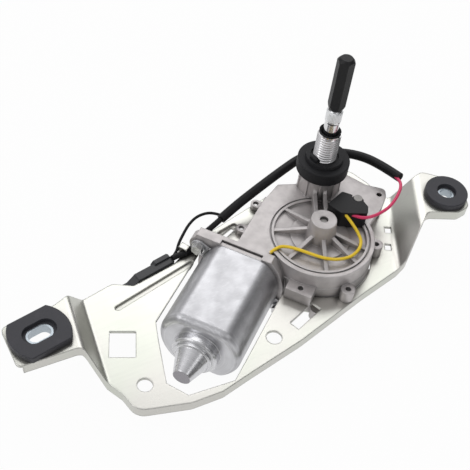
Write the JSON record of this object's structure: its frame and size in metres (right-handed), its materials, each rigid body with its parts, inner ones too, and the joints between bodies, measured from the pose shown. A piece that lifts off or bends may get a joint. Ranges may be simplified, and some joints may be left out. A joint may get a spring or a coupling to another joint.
{
  "type": "wiper motor",
  "caption": "Rear wiper motor on a stamped steel bracket with two rubber mounts, a worm gearbox with a swinging output spindle, and its wiring.",
  "frame": {"origin": "on the spindle's axis, in the plane where the rubber tower seal meets the panel", "axes": "+Z along the spindle away from the bracket, +X from the left slotted mount to the right round mount"},
  "size_m": [0.3381, 0.138, 0.1582],
  "materials": {
    "zinc_plate": "zinc plated, pale yellow passivation",
    "mount_rubber": "matt black",
    "sleeve_steel": "bright zinc",
    "cast_aluminium": "as cast, fine grain",
    "cover_steel": "zinc plated sheet",
    "can_steel": "galvanised, deep drawn",
    "spindle_steel": "turned and bright",
    "cap_plastic": "moulded black",
    "wheel_plastic": "natural acetal",
    "bush_bronze": "sintered bronze",
    "spring_steel": "spring temper",
    "magnet_ferrite": "sintered ferrite",
    "core_steel": "stacked laminations",
    "copper_wire": "enamelled copper",
    "brush_carbon": "carbon",
    "yellow_insulation": "smooth insulation",
    "red_insulation": "smooth insulation",
    "black_tubing": "smooth tubing"
  },
  "bodies": {
    "base": {"mounting_plate": "zinc_plate", "right_grommet": "mount_rubber", "right_sleeve": "sleeve_steel", "left_grommet": "mount_rubber", "left_sleeve": "sleeve_steel", "gear_housing": "cast_aluminium", "gear_cover": "cover_steel", "cover_screws": "sleeve_steel", "plate_screws": "sleeve_steel", "wheel_axle": "spindle_steel", "lower_bush": "bush_bronze", "upper_bush": "bush_bronze", "shaft_seal": "mount_rubber", "tower_seal": "mount_rubber", "threaded_sleeve": "spindle_steel", "motor_can": "can_steel", "can_screws": "sleeve_steel", "magnets": "magnet_ferrite", "front_bush": "bush_bronze", "rear_bush": "bush_bronze", "bush_clip": "spring_steel", "thrust_plug": "cap_plastic", "brush_holder": "cap_plastic", "brushes": "brush_carbon", "brush_springs": "spring_steel", "contact_block": "cap_plastic", "contact_screw": "sleeve_steel", "connector_body": "cap_plastic", "yellow_lead": "yellow_insulation", "red_lead": "red_insulation", "harness_tube": "black_tubing", "harness_tail": "black_tubing", "loop_lead": "black_tubing"},
    "armature": {"armature_shaft": "spindle_steel", "armature_core": "core_steel", "windings": "copper_wire", "commutator": "bush_bronze"},
    "wheel": {"worm_wheel": "wheel_plastic", "crank_pin": "spindle_steel", "contact_ring": "bush_bronze"},
    "spindle": {"spindle": "spindle_steel", "spindle_pinion": "spindle_steel"},
    "rocker": {"rocker_link": "spindle_steel", "sector_pin": "spindle_steel"},
    "sector": {"sector_link": "spindle_steel"},
    "cap": {"spindle_cap": "cap_plastic"}
  },
  "joints": [
    {"name": "armature_spin", "type": "hinge", "parent": "base", "child": "armature", "pos_m": [-0.04706, -0.00996, -0.0495], "axis": [-0.7815, -0.6239, 0], "continuous": true},
    {"name": "wheel_spin", "type": "hinge", "parent": "base", "child": "wheel", "pos_m": [-0.0226, -0.0406, -0.0495], "axis": [0, 0, 1], "continuous": true},
    {"name": "spindle_swing", "type": "hinge", "parent": "base", "child": "spindle", "pos_m": [0, 0, 0], "axis": [0, 0, 1], "range_deg": [-58, 58]},
    {"name": "rocker_swing", "type": "hinge", "parent": "base", "child": "rocker", "pos_m": [0, 0, -0.06], "axis": [0, 0, 1], "range_deg": [-29, 29]},
    {"name": "sector_turn", "type": "hinge", "parent": "rocker", "child": "sector", "pos_m": [0.01111, -0.01416, -0.057], "axis": [0, 0, 1], "range_deg": [-29, 29]},
    {"name": "cap_pull", "type": "slide", "parent": "spindle", "child": "cap", "axis": [0, 0, 1], "range_m": [0, 0.028]}
  ],
  "couplings": [
    {"joint": "wheel_spin", "follows": "armature_spin", "ratio": 0.016667},
    {"joint": "rocker_swing", "follows": "spindle_swing", "ratio": 0.5},
    {"joint": "sector_turn", "follows": "spindle_swing", "ratio": -0.5}
  ]
}
